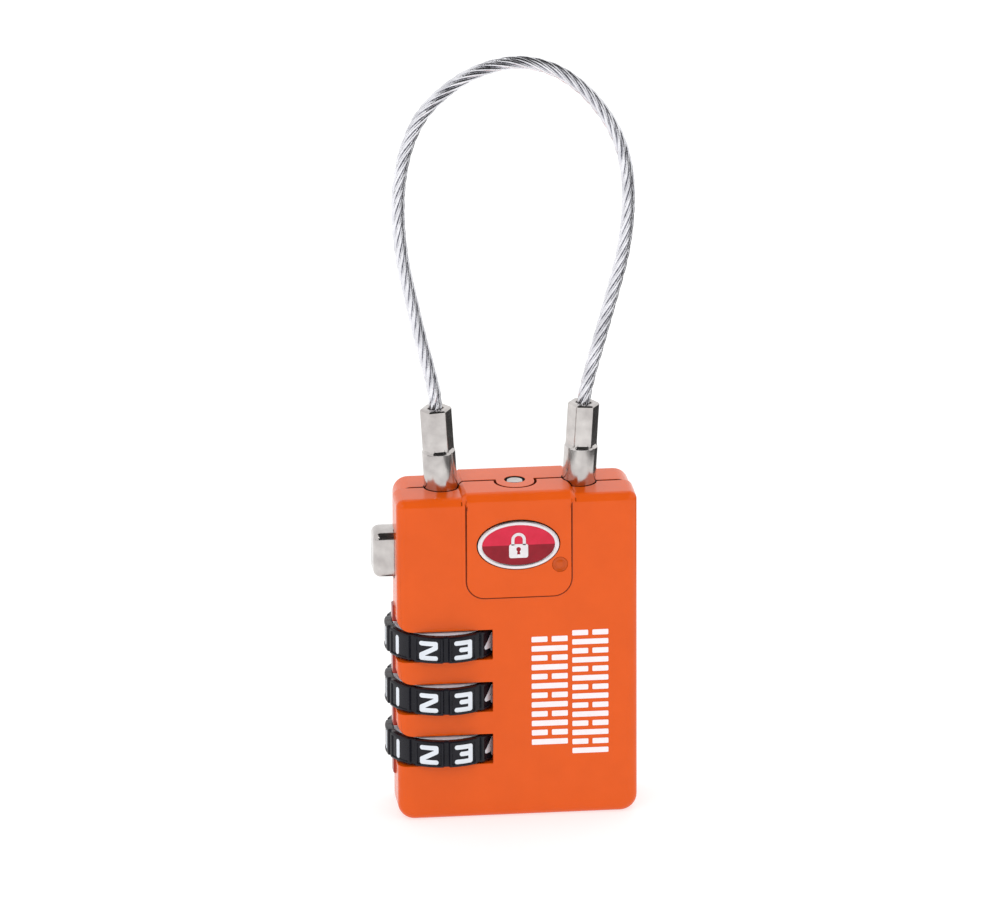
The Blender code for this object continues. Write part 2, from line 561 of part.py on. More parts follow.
def make_latch_plate():
    eye_x = RELEASE_X - (BODY_H - sum(PLATE_Z) / 2) * math.tan(FERRULE_TILT)
    outer = rectangle(PLATE_X, (-PLATE_HALF_Y, PLATE_HALF_Y))
    window = rectangle((PLATE_WINDOW_X, POST_X[1] + 0.4), (-PLATE_WINDOW_Y, PLATE_WINDOW_Y))
    eye = rectangle((eye_x - PIN_R - TRAVEL - 0.35, eye_x + PIN_R - 0.5), (-EYE_HALF_Y, EYE_HALF_Y))
    add_part(extruded("latch_plate", [outer, window, eye], *PLATE_Z), "steel")
    centre = sum(PLATE_Z) / 2
    add_part(tube("button_spring", coil(-4.6, 0.8, 0.9, 6, axis="X"), 0.16, 1, (0, 0, centre)), "steel")


def ferrule_profile(lower):
    """A crimped ferrule above its pin; lower is the pin's own outline down to its bottom end."""
    neck = PIN_TOP + 0.35
    upper = [
        (CABLE_HOLE_R, CRIMP_TOP), (CRIMP_R - 0.2, CRIMP_TOP), (CRIMP_R, CRIMP_TOP - 0.25),
        (CRIMP_R, neck), (PIN_R - 0.1, PIN_TOP + 0.1), (PIN_R, PIN_TOP - 0.15),
    ]
    return [(0.0, CABLE_SEAT)] + [(CABLE_HOLE_R, CABLE_SEAT)] + upper + lower


def make_ferrules():
    low, high = CLIP_GROOVE
    groove_r = CLIP_R[0] - 0.25
    captive = [(PIN_R, high), (groove_r, high), (groove_r, low), (PIN_R, low)]
    captive += [(PIN_R - 0.2, CAPTIVE_BOTTOM), (0.0, CAPTIVE_BOTTOM)]
    low = PLATE_Z[0] - 1.4 - BODY_H
    high = PLATE_Z[1] + 0.3 - BODY_H
    release = [
        (PIN_R, high), (RELEASE_GROOVE_R, high), (RELEASE_GROOVE_R, low), (PIN_R, low),
        (PIN_R, RELEASE_BOTTOM + 0.3), (PIN_R - 0.3, RELEASE_BOTTOM), (0.0, RELEASE_BOTTOM),
    ]
    left, right = (CAPTIVE_X, 0, BODY_H), (RELEASE_X, 0, BODY_H)
    add_part(turned("captive_ferrule", ferrule_profile(captive), left, -FERRULE_TILT, 28), "nickel")
    add_part(turned("release_ferrule", ferrule_profile(release), right, FERRULE_TILT, 28), "nickel")
    clip = arc((0, 0), CLIP_R[1], 35, 325, 20) + arc((0, 0), CLIP_R[0], 325, 35, 16)
    ring = extruded("captive_clip", [clip], *CLIP_Z, left)
    ring.rotation_euler = (0, -FERRULE_TILT, 0)
    add_part(ring, "steel")
    spring = coil(EJECTOR_BOTTOM + 0.2, RELEASE_BOTTOM - 0.35, 1.5, 6)
    add_part(tube("ejector_spring", spring, 0.2, 1, right, FERRULE_TILT), "steel")


def catmull_rom(points, per_span):
    """A smooth curve through the points."""
    ends = [2 * points[0] - points[1]] + points + [2 * points[-1] - points[-2]]
    made = []
    for i in range(1, len(ends) - 2):
        p0, p1, p2, p3 = ends[i - 1: i + 3]
        for step in range(per_span):
            t = step / per_span
            made.append(0.5 * (
                2 * p1 + (p2 - p0) * t + (2 * p0 - 5 * p1 + 4 * p2 - p3) * t * t
                + (3 * p1 - p0 - 3 * p2 + p3) * t * t * t
            ))
    return made + [ends[-2]]


def cable_route():
    """From the seat in one ferrule, along its axis, round the loop and into the other."""
    def on_axis(x, lean, along):
        return Vector((x + lean * along * math.sin(FERRULE_TILT), 0, BODY_H + along * math.cos(FERRULE_TILT)))

    inside = (CABLE_SEAT + 0.3, CRIMP_TOP - 2.5, CRIMP_TOP + 0.4)
    start = [on_axis(CAPTIVE_X, -1, along) for along in inside]
    end = [on_axis(RELEASE_X, 1, along) for along in reversed(inside)]
    return start + [Vector((x, 0, z)) for x, z in ROUTE] + end


def make_cable():
    add_part(tube("cable", catmull_rom(cable_route(), 2), CABLE_R), "cable")


def make_reset_pin():
    low, high = RESET_COLLAR_Z
    profile = [
        (0.0, RESET_TOP), (RESET_R - 0.15, RESET_TOP), (RESET_R, RESET_TOP - 0.15), (RESET_R, high),
        (RESET_COLLAR_R, high), (RESET_COLLAR_R, low), (RESET_TAIL_R, low),
        (RESET_TAIL_R, RESET_TAIL_Z), (0.0, RESET_TAIL_Z),
    ]
    add_part(turned("reset_pin", profile, (RESET_X, 0, 0), segments=24), "nickel")
    spring = coil(RESET_TAIL_Z - 1.0, low - 0.3, 1.3, 4)
    add_part(tube("reset_spring", spring, 0.15, 1, (RESET_X, 0, 0)), "steel")


def make_key_cylinder():
    at = (KEY_X, 0, 0)
    low, high = HOUSING_Z
    inner = PLUG_R + 0.3
    housing = [(HOUSING_R, high), (HOUSING_R, low), (inner, low), (inner, high)]
    add_part(turned("cylinder_housing", housing, at, segments=24), "nickel")
    low, high = PLUG_Z
    plug = turned("key_plug", [
        (0.0, high + 0.4), (STEM_BORE, high + 0.4), (STEM_BORE, STEM_Z), (STEM_R, STEM_Z),
        (STEM_R, high), (PLUG_R, high), (PLUG_R, low), (0.0, low),
    ], at, segments=20)
    half_x, half_y = KEYWAY_HALF
    keyway = box("cut_keyway", (KEY_X - half_x, KEY_X + half_x), (-half_y, half_y), (-1.0, KEYWAY_TOP))
    cut(plug, add_cutter(keyway))
    for i, z in enumerate(WAFER_Z):
        half_x, half_y, half_z = WAFER_ROOM_HALF
        x = (KEY_X - half_x, KEY_X + half_x)
        cut(plug, add_cutter(box(f"cut_wafer_{i + 1}", x, (-half_y, half_y), (z - half_z, z + half_z))))
        half_x, half_y, half_z = WAFER_HALF
        leaf = rectangle((-half_x, half_x), (-half_y, half_y))
        hole_x, hole_y = WAFER_HOLE_HALF
        window = rectangle((-hole_x, hole_x), (-hole_y, hole_y))
        add_part(extruded(f"wafer_{i + 1}", [leaf, window], z - half_z, z + half_z, at), "brass")
    add_part(plug, "brass")
    reach, half_w = CAM_ARM
    hub = arc((0, 0), CAM_R, 25, 335, 16)
    hole = ellipse((0, 0), CAM_BORE, CAM_BORE, 16)
    cam = extruded("cylinder_cam", [hub + [(reach, -half_w), (reach, half_w)], hole], *CAM_Z, at)
    add_part(cam, "steel")
    screw = [(0.0, 19.1), (1.2, 19.1), (1.5, 18.8), (1.5, 18.3), (0.45, 18.3), (0.45, 16.9), (0.0, 16.9)]
    add_part(turned("cam_screw", screw, at, segments=16), "steel")


def make_case_pins():
    for i, (x, z) in enumerate(CASE_PINS):
        half = CASE_PIN_HALF
        pin = cylinder(f"case_pin_{i + 1}", CASE_PIN_R, -half, half, (x, 0, z), axis="Y", segments=12)
        add_part(smooth(pin), "steel")


make_shells()
make_badge()
make_dials()
make_spindle()
make_click_spring()
make_button()
make_latch_plate()
make_ferrules()
make_cable()
make_reset_pin()
make_key_cylinder()
make_case_pins()
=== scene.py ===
"""Looks of the luggage combination padlock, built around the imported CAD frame.

Metres, +Z up, -Y is the front. Shapes are written in millimetres and scaled by MM
when their mesh is made.
"""

import json
import math

import bmesh
import bpy
import numpy as np
from mathutils import Matrix, Vector


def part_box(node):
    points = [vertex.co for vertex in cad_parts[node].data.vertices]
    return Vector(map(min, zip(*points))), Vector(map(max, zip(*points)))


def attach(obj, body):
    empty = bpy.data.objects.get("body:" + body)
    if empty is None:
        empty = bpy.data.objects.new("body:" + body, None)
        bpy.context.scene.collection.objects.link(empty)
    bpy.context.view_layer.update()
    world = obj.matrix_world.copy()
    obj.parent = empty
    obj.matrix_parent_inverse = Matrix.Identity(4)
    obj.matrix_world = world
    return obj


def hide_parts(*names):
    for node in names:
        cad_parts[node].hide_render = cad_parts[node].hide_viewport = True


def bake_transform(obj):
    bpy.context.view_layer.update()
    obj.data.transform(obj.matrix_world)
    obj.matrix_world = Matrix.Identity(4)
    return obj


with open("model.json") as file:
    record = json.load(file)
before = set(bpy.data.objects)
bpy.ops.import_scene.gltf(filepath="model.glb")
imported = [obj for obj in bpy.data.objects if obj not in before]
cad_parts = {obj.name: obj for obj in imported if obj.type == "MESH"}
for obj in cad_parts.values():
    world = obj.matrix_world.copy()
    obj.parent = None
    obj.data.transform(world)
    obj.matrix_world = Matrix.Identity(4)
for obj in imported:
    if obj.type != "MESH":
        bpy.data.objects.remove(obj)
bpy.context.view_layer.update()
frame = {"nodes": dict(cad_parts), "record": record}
NODES = frame["nodes"]
MM = 0.001

# Camera, as the object is seen
VIEW_AZIMUTH, VIEW_ELEVATION, VIEW_ROLL = -6.28, 18.4, -0.246
VIEW_DISTANCE, VIEW_WIDTH = 1.5, 0.13051
AIM_HEIGHT, AIM_RIGHT, AIM_UP = 0.052, -0.00179, -0.00321


def box_mm(node):
    """A CAD node's lowest and highest corners in millimetres."""
    low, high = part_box(node)
    return low / MM, high / MM


# Sizes that the CAD frame settles, in millimetres
DIALS = ("dial_1", "dial_2", "dial_3")
JOINTS = {joint["name"]: joint for joint in frame["record"]["behaviour"]["joints"]}
DIAL_X = JOINTS["dial_1_turn"]["pos_m"][0] / MM
DIAL_Z = [sum(corner.z for corner in box_mm(name)) / 2 for name in DIALS]
BUTTON_LOW = box_mm("push_button")[0]
KEY_X = sum(corner.x for corner in box_mm("cylinder_housing")) / 2
BADGE_LOW, BADGE_HIGH = box_mm("badge_plate")
BADGE_MIDDLE = ((BADGE_LOW.x + BADGE_HIGH.x) / 2, (BADGE_LOW.z + BADGE_HIGH.z) / 2)
BADGE_A, BADGE_B = (BADGE_HIGH.x - BADGE_LOW.x) / 2, (BADGE_HIGH.z - BADGE_LOW.z) / 2

# Body
BODY_T, BODY_H, EDGE_R, BOTTOM_R = 11.6, 44.2, 1.15, 2.2
SIDES = {"front_shell": ((-16.0, 15.6), 1.1), "back_shell": ((-15.5, 15.6), 2.0)}
RIGHT_SPREAD = 1.5  # the right edges are rounder than the left ones
SEAM_HALF = 0.2
LIP_X, LIP_Y, LIP_Z = (-15.0, 15.1), (-0.4, 0.19), (0.5, 43.65)  # closes the seam inside
PANEL_HALF, PANEL_Z0, PANEL_R, PANEL_Y, PANEL_TOP = 6.9, 30.55, 2.4, 6.05, 44.8
# Depth, spread and depth at the top of the panel's edge: its rim, a groove, then a low shoulder
PANEL_EDGE = (
    (0.0, -0.07, 0.0), (0.05, 0.0, 0.05), (0.2, 0.02, 0.08), (0.2, 0.09, 0.11), (0.1, 0.13, 0.14),
    (0.3, 0.55, 0.3),
)
# Rows of the panel's edge whose faces take the seam shadow: painted shade in the groove.
GROOVE_ROWS = (1, 2, 3)
GUARD_Z, GUARD_Y, GUARD_X, GUARD_END = (5.34, 28.72), (-2.2, 0.5), -16.3, (-2.2, 2.5)
SLOT_HALF_H, SLOT_RIGHT, SLOT_R = 2.05, -3.5, 7.9
LAND_ROUND_X, LAND_ROUND_Z = 2.2, 1.7
BOSS_X, BOSS_Y, BOSS_R = 0.1, -0.75, 2.5
TONGUE_X, TONGUE_Y, TONGUE_Z, TONGUE_GAP = (-2.0, 2.0), (-1.0, 1.4), (-1.0, 2.0), 0.15
FERRULE_X, TILT = (-9.57, 8.55), math.radians(3.5)
DIMPLE_AT, DIMPLE_R = (5.37, 34.86), 1.02
# Bores: radius, lowest and highest point
SLEEVE_BORE, RESET_BORE, KEY_BORE = (3.7, 6.0, 28.5), (1.35, 40.0, 47.0), (3.7, -1.0, 20.0)
FERRULE_BORE = (2.32, -6.0, 3.0)
BOSS_GAP, BOSS_Z, NOTCH_Z, LIP_R = 0.3, (42.3, 65.0), (42.0, 47.0), 1.6
OPENING_X, OPENING_Y, OPENING_Z, OPENING_R = (-17.0, -9.0), (-2.6, 2.6), (32.3, 39.05), 1.1
BADGE_GAP, BADGE_POCKET_Y, DISH_POCKET_Y = 0.12, (-8.0, -5.6), (-8.0, -5.5)
PAST = 8.0  # how far a cutting tool reaches past the body's middle, to the front and back
FAR_LEFT = -20.0
EDGE_BEVEL = 0.07


# ---------------------------------------------------------------- helpers

def link(obj):
    bpy.context.scene.collection.objects.link(obj)
    return obj


def mesh_object(name, bm, *materials, scale=MM):
    """An object from bm, whose numbers are in millimetres."""
    bmesh.ops.scale(bm, vec=(scale, scale, scale), verts=bm.verts)
    mesh = bpy.data.meshes.new(name)
    bm.to_mesh(mesh)
    bm.free()
    obj = link(bpy.data.objects.new(name, mesh))
    for material in materials:
        mesh.materials.append(material)
    return obj


def arc(centre, radius, start, end, steps):
    """Points on an arc, angles in degrees, both ends included."""
    angles = [math.radians(start + (end - start) * i / steps) for i in range(steps + 1)]
    return [(centre[0] + radius * math.cos(a), centre[1] + radius * math.sin(a)) for a in angles]


def loft(loops, closed=True):
    """A bmesh skin over loops of the same length, with a cap at both ends if closed is set."""
    bm = bmesh.new()
    rings = [[bm.verts.new(point) for point in loop] for loop in loops]
    count = len(rings[0])
    for low, high in zip(rings, rings[1:]):
        for i in range(count):
            j = (i + 1) % count
            bm.faces.new((low[i], low[j], high[j], high[i]))
    if closed:
        bm.faces.new(list(reversed(rings[0])))
        bm.faces.new(rings[-1])
    bmesh.ops.recalc_face_normals(bm, faces=bm.faces)
    return bm


def prism(outline, low, high, plane="XY"):
    """An outline extruded between two heights; plane XZ extrudes along Y, YZ along X."""
    spot = {
        "XY": lambda u, v, w: (u, v, w),
        "XZ": lambda u, v, w: (u, w, v),
        "YZ": lambda u, v, w: (w, u, v),
    }[plane]
    return loft([[spot(u, v, w) for u, v in outline] for w in (low, high)])


def rounded(x, y, radii, steps=6):
    """A rectangle's outline with rounded corners; radii starts top right and goes anticlockwise."""
    if not isinstance(radii, tuple):
        radii = (radii,) * 4
    signs = ((1, 1), (-1, 1), (-1, -1), (1, -1))
    points = []
    for (right, up), radius, start in zip(signs, radii, (0, 90, 180, 270)):
        centre = (x[right > 0] - right * radius, y[up > 0] - up * radius)
        points += arc(centre, radius, start, start + 90, steps)
    return points


def block(x, y, z):
    return prism([(x[0], y[0]), (x[1], y[0]), (x[1], y[1]), (x[0], y[1])], *z)


def ellipse(centre, a, b, steps=96, start=0.0, end=360.0):
    """Points on an ellipse; the end point is left out of a whole turn."""
    whole = end - start >= 360.0
    angles = [math.radians(start + (end - start) * i / steps) for i in range(steps + (not whole))]
    return [(centre[0] + a * math.cos(t), centre[1] + b * math.sin(t)) for t in angles]


def carved(bm, *tools):
    """The solid bm with every tool cut from it, still in millimetres."""
    obj = mesh_object("carved", bm)
    for tool in tools:
        combine(obj, tool, "DIFFERENCE")
    made = bmesh.new()
    made.from_mesh(obj.data)
    bmesh.ops.scale(made, vec=(1 / MM,) * 3, verts=made.verts)
    bpy.data.objects.remove(obj, do_unlink=True)
    return made


def combine(obj, bm, operation, *materials):
    """obj joined with, or cut by, the solid bm; the cut faces take its materials."""
    tool = mesh_object("tool", bm, *materials)
    step = obj.modifiers.new("step", "BOOLEAN")
    step.operation, step.object, step.solver = operation, tool, "EXACT"
    step.material_mode = "TRANSFER"
    bake(obj)
    bpy.data.objects.remove(tool, do_unlink=True)
    return obj


def bake(obj):
    """The object's modifiers applied."""
    evaluated = obj.evaluated_get(bpy.context.evaluated_depsgraph_get())
    mesh = bpy.data.meshes.new_from_object(evaluated)
    obj.modifiers.clear()
    old, obj.data = obj.data, mesh
    mesh.name = old.name
    bpy.data.meshes.remove(old)
    return obj


def soften(obj, width):
    """Small rounded edges everywhere, with flat faces kept flat in the shading."""
    bm = bmesh.new()
    bm.from_mesh(obj.data)
    bmesh.ops.remove_doubles(bm, verts=bm.verts, dist=0.004 * MM)
    bmesh.ops.dissolve_limit(
        bm, angle_limit=math.radians(0.4), verts=bm.verts, edges=bm.edges, delimit={"MATERIAL"},
    )
    bm.to_mesh(obj.data)
    bm.free()
    obj.data.shade_smooth()
    bevel = obj.modifiers.new("bevel", "BEVEL")
    bevel.width, bevel.segments = width * MM, 2
    bevel.limit_method, bevel.angle_limit = "ANGLE", math.radians(24)
    bevel.use_clamp_overlap = False
    bevel.miter_outer = "MITER_ARC"
    even = obj.modifiers.new("even", "WEIGHTED_NORMAL")
    even.keep_sharp, even.weight = True, 100
    return bake(obj)


# ---------------------------------------------------------------- materials

class Nodes:
    """A material's node tree with short calls for the nodes used here."""

    def __init__(self, name):
        self.material = bpy.data.materials.new(name)
        self.material.use_nodes = True
        self.tree = self.material.node_tree
        self.shader = self.tree.nodes["Principled BSDF"]
        self.place = self.tree.nodes.new("ShaderNodeTexCoord").outputs["Object"]

    def set(self, **values):
        for name, value in values.items():
            self.shader.inputs[name.replace("_", " ")].default_value = value
        return self

    def join(self, output, target):
        if isinstance(target, str):
            target = self.shader.inputs[target]
        self.tree.links.new(output, target)

    def noise(self, scale, detail=2.0, roughness=0.5, source=None):
        made = self.tree.nodes.new("ShaderNodeTexNoise")
        for name, value in (("Scale", scale), ("Detail", detail), ("Roughness", roughness)):
            made.inputs[name].default_value = value
        self.join(source or self.place, made.inputs["Vector"])
        return made.outputs["Fac"]

    def stretched(self, scale):
        made = self.tree.nodes.new("ShaderNodeMapping")
        made.inputs["Scale"].default_value = scale
        self.join(self.place, made.inputs["Vector"])
        return made.outputs["Vector"]

    def ramp(self, source, low, high, start=0.3, end=0.7):
        made = self.tree.nodes.new("ShaderNodeValToRGB")
        for element, position, colour in zip(made.color_ramp.elements, (start, end), (low, high)):
            element.position = position
            element.color = (*colour, 1.0)
        self.join(source, made.inputs["Fac"])
        return made.outputs["Color"]

    def span(self, source, low, high):
        made = self.tree.nodes.new("ShaderNodeMapRange")
        made.inputs["To Min"].default_value = low
        made.inputs["To Max"].default_value = high
        self.join(source, made.inputs["Value"])
        return made.outputs["Result"]

    def bump(self, *layers):
        """Stacks (height, distance, strength) layers of bump onto the shader's normal."""
        normal = None
        for height, distance, strength in layers:
            made = self.tree.nodes.new("ShaderNodeBump")
            made.inputs["Strength"].default_value = strength
            made.inputs["Distance"].default_value = distance
            self.join(height, made.inputs["Height"])
            if normal:
                self.join(normal, made.inputs["Normal"])
            normal = made.outputs["Normal"]
        self.join(normal, "Normal")
        return self.material


def grey(value):
    return (value, value, value)


def paint_material(name, low, high):
    """Gloss paint with a faint orange peel."""
    made = Nodes(name).set(IOR=1.38)
    made.join(made.ramp(made.noise(260.0, 3.0), low, high), "Base Color")
    made.join(made.span(made.noise(900.0, 4.0), 0.16, 0.26), "Roughness")
    return made.bump((made.noise(900.0, 2.0), 0.00003, 0.1), (made.noise(4200.0, 2.0), 0.00001, 0.12))


def plastic_material(name, low, high, rough, ior=1.45):
    made = Nodes(name).set(IOR=ior)
    made.join(made.ramp(made.noise(700.0, 3.0), low, high), "Base Color")
    made.join(made.span(made.noise(1500.0, 4.0), *rough), "Roughness")
    return made.bump((made.noise(4200.0, 3.0), 0.00001, 0.2))


def metal_material(name, low, high, rough, brush=(1.0, 1.0, 1.0), coat=0.0):
    """Metal whose fine scratches run along the axis that brush stretches."""
    made = Nodes(name).set(Metallic=1.0, Coat_Weight=coat, Coat_Roughness=0.12)
    scratches = made.noise(2600.0, 3.0, 0.6, made.stretched(brush))
    cloud = made.noise(420.0, 3.0)
    made.join(made.ramp(cloud, low, high), "Base Color")
    made.join(made.span(scratches, *rough), "Roughness")
    return made.bump((scratches, 0.00001, 0.12), (cloud, 0.00004, 0.06))


PAINT = paint_material("orange_paint", (0.70, 0.087, 0.001), (0.74, 0.094, 0.002))
# Darker orange for the dimple's dish and rivet: painted shade in the recess.
DIMPLE_SHADE = paint_material("dimple_painted_shade", (0.50, 0.070, 0.003), (0.58, 0.080, 0.004))
SEAM = paint_material("seam_shadow", (0.20, 0.03, 0.010), (0.24, 0.036, 0.012))
# Dark red for the side rail, darker than the body's orange: painted shade.
RAIL_SHADE = paint_material("rail_painted_shade", (0.30, 0.022, 0.010), (0.36, 0.028, 0.012))
# Near black for the walls of the bores, pockets and openings: painted shade inside the holes.
HOLE_SHADE = plastic_material("hole_painted_shade", (0.018, 0.012, 0.010), (0.03, 0.02, 0.016), (0.6, 0.8))
BLACK = plastic_material("gloss_black", (0.006, 0.006, 0.010), (0.010, 0.010, 0.015), (0.2, 0.32), 1.32)
WHITE = plastic_material("white_plastic", (0.70, 0.74, 0.80), (0.76, 0.80, 0.86), (0.35, 0.5))
PRINT = plastic_material("white_print", (0.87, 0.80, 0.82), (0.92, 0.85, 0.87), (0.4, 0.55))
NICKEL = metal_material("nickel_plate", (0.46, 0.43, 0.42), (0.66, 0.63, 0.61), (0.10, 0.24), (1, 1, 0.12))
STEEL = metal_material("plain_steel", grey(0.42), grey(0.55), (0.3, 0.5))
BRASS = metal_material("plain_brass", (0.60, 0.40, 0.16), (0.72, 0.50, 0.22), (0.25, 0.45))
WIRE = metal_material("cable_wire", (0.66, 0.66, 0.70), (0.92, 0.92, 0.96), (0.18, 0.34), coat=0.5)
RED = plastic_material("red_enamel", (0.58, 0.010, 0.040), (0.66, 0.014, 0.055), (0.06, 0.14), 1.4)
DARK_RED = plastic_material("dark_red_enamel", (0.22, 0.005, 0.014), (0.28, 0.007, 0.018), (0.06, 0.14), 1.33)
SILVER = metal_material("badge_silver", (0.80, 0.76, 0.78), (0.88, 0.84, 0.86), (0.3, 0.45))
SLOTS = {
    "paint": PAINT, "dial_black": BLACK, "dial_white": WHITE, "nickel": NICKEL,
    "steel": STEEL, "brass": BRASS, "enamel_red": RED, "cable": WIRE,
}


def finish_cad_nodes():
    """Every CAD node gets the procedural finish of its own slot."""
    for entry in frame["record"]["subparts"]:
        data = NODES[entry["node"]].data
        data.materials.clear()
        data.materials.append(SLOTS[entry["material_slot"]])


def place(obj, body, slot, *nodes):
    """The piece rides on its body and stands for the CAD nodes named; slot is not used."""
    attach(obj, body)
    if nodes:
        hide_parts(*nodes)
    return obj


# ---------------------------------------------------------------- body

def body_form(x, top_r):
    """The outer body: rounded corners seen from the front, then rounded front and back edges."""
    rows = []
    for i in range(9):
        turn = math.radians(90 * i / 8)
        rows.append((BODY_T / 2 - EDGE_R * (1 - math.sin(turn)), EDGE_R * (1 - math.cos(turn))))
    rows = [(-y, inset) for y, inset in reversed(rows)] + rows
    loops = []
    for y, inset in rows:
        top, bottom = max(0.06, top_r - inset), BOTTOM_R - inset
        across = (x[0] + inset, x[1] - RIGHT_SPREAD * inset)
        outline = rounded(across, (inset, BODY_H - inset), (top, top, bottom, bottom), 8)
        loops.append([(u, y, v) for u, v in outline])
    return loft(loops)


def panel_form():
    """The raised panel, which runs over the top from front to back, with a groove round its rim."""
    top_r = EDGE_R + 0.2
    spread = PANEL_EDGE[-1][1]
    rows = [(PANEL_Y - depth, wide, PANEL_Y - top_depth) for depth, wide, top_depth in PANEL_EDGE]
    for turn in (45, 60, 75, 90):
        y = PANEL_Y - top_r * (1 - math.cos(math.radians(turn)))
        rows.append((y, spread, y))
    loops = []
    for sign in (-1, 1):
        for y, wide, top_y in (rows if sign < 0 else reversed(rows)):
            sunk = max(0.0, top_r - (PANEL_Y - top_y))
            top = PANEL_TOP - (top_r - math.sqrt(top_r * top_r - sunk * sunk))
            half, radius = PANEL_HALF + wide, PANEL_R + wide
            low = arc((-half + radius, PANEL_Z0 + PANEL_R), radius, 180, 270, 8)
            low += arc((half - radius, PANEL_Z0 + PANEL_R), radius, 270, 360, 8)
            low = [(-half, top - 0.7), *low, (half, top - 0.7)]
            high = [(PANEL_HALF + wide / 2, top - 0.3), (PANEL_HALF - 0.1, top)]
            high += [(-u, v) for u, v in reversed(high)]
            loop = [(u, sign * y, v) for u, v in low]
            loops.append(loop + [(u, sign * top_y, v) for u, v in high])
    bm = loft(loops)
    bm.faces.ensure_lookup_table()
    # The groove rows take the second material, the seam shadow: painted shade along the panel's rim.
    for row in range(len(loops) - 1):
        if row in GROOVE_ROWS or len(loops) - 2 - row in GROOVE_ROWS:
            for i in range(len(low) - 1):
                bm.faces[row * len(loops[0]) + i].material_index = 1
    return bm


def guard_form():
    """The narrow rail down the left side, beside the dials, before the windows part it."""
    loops = []
    for x, inset in ((-14.6, 0.0), (GUARD_X + 0.2, 0.0), (GUARD_X + 0.06, 0.06), (GUARD_X, 0.2)):
        y = (GUARD_Y[0] + inset, GUARD_Y[1])
        z = (GUARD_Z[0] + inset, GUARD_Z[1] - inset)
        loops.append([(x, u, v) for u, v in rounded(y, z, 0.3, 4)])
    return loft(loops)


def round_hole(radius, low, high, centre, lean=0.0):
    bm = prism(ellipse((0, 0), radius, radius, 48), low, high)
    turn = Matrix.Translation(Vector(centre)) @ Matrix.Rotation(lean, 4, "Y")
    bmesh.ops.transform(bm, matrix=turn, verts=bm.verts)
    return bm


def slot_form(z):
    """One dial's window: open to the front, back and left, round inside on the right."""
    side = math.degrees(math.acos((SLOT_RIGHT - DIAL_X) / SLOT_R))
    outline = [(FAR_LEFT, -PAST), (SLOT_RIGHT, -PAST)]
    outline += arc((DIAL_X, 0), SLOT_R, -side, side, 20)
    outline += [(SLOT_RIGHT, PAST), (FAR_LEFT, PAST)]
    return prism(outline, z - SLOT_HALF_H, z + SLOT_HALF_H)


def land_form(z):
    """What is taken off the lower left corner of the land above one window."""
    foot = z + SLOT_HALF_H
    middle = (SIDES["front_shell"][0][0] + LAND_ROUND_X, foot + LAND_ROUND_Z)
    outline = [(middle[0], foot - 0.3), (FAR_LEFT, foot - 0.3), (FAR_LEFT, middle[1])]
    outline += ellipse(middle, LAND_ROUND_X, LAND_ROUND_Z, 16, 180.0, 270.0)
    return prism(outline, -PAST, PAST, "XZ")


def boss_outline(spare):
    """The boss round the reset pin: half a circle at the front, straight to the back."""
    radius = BOSS_R + spare
    sides = [(BOSS_X + radius, PAST), (BOSS_X - radius, PAST)]
    return arc((BOSS_X, BOSS_Y), radius, 180, 360, 24) + sides


def make_shell(name, sign):
    """One half of the body: its outer form, then the seam, the windows, the bores and the pockets."""
    wide, tall, far = (-40.0, 40.0), (-5.0, 60.0), sign * 20.0
    x, top_r = SIDES[name]
    shell = mesh_object(name + "_paint", body_form(x, top_r), PAINT)
    combine(shell, panel_form(), "UNION", PAINT, SEAM)
    for z in DIAL_Z:
        combine(shell, land_form(z), "DIFFERENCE", PAINT)
    if sign < 0:
        gaps = [block(wide, wide, [z + end for end in GUARD_END]) for z in DIAL_Z]
        # The rail takes the dark red: painted shade.
        combine(shell, carved(guard_form(), *gaps), "UNION", RAIL_SHADE)
        tongue = block(TONGUE_X, TONGUE_Y, TONGUE_Z)
        combine(shell, carved(block(wide, (-SEAM_HALF, -far), tall), tongue), "DIFFERENCE", SEAM)
        combine(shell, prism(rounded(LIP_X, LIP_Z, LIP_R), *LIP_Y, "XZ"), "UNION", SEAM)
        combine(shell, prism(boss_outline(BOSS_GAP), *NOTCH_Z), "DIFFERENCE", SEAM)
        pocket = ellipse(BADGE_MIDDLE, BADGE_A + BADGE_GAP, BADGE_B + BADGE_GAP)
        holes = [prism(pocket, *BADGE_POCKET_Y, "XZ")]
    else:
        boss = prism(boss_outline(0.0), *BOSS_Z)
        combine(shell, carved(block(wide, (-far, SEAM_HALF), tall), boss), "DIFFERENCE", SEAM)
        tongue = (TONGUE_X, TONGUE_Y, TONGUE_Z)
        holes = [block(*[(low - TONGUE_GAP, high + TONGUE_GAP) for low, high in tongue])]
    for z in DIAL_Z:
        combine(shell, slot_form(z), "DIFFERENCE", PAINT)
    holes.append(round_hole(*SLEEVE_BORE, (DIAL_X, 0, 0)))
    for ferrule_x, lean in zip(FERRULE_X, (-TILT, TILT)):
        holes.append(round_hole(*FERRULE_BORE, (ferrule_x, 0, BODY_H), lean))
    holes.append(round_hole(*RESET_BORE, (BOSS_X, 0, 0)))
    holes.append(round_hole(*KEY_BORE, (KEY_X, 0, 0)))
    holes.append(prism(rounded(OPENING_Y, OPENING_Z, OPENING_R, 4), *OPENING_X, "YZ"))
    # Every hole's walls take the near black: painted shade.
    for hole in holes:
        combine(shell, hole, "DIFFERENCE", HOLE_SHADE)
    if sign < 0:
        # The dish takes the darker orange: painted shade.
        dish = prism(ellipse(DIMPLE_AT, DIMPLE_R, DIMPLE_R, 48), *DISH_POCKET_Y, "XZ")
        combine(shell, dish, "DIFFERENCE", DIMPLE_SHADE)
    soften(shell, EDGE_BEVEL)
    place(shell, "body", "paint", name)


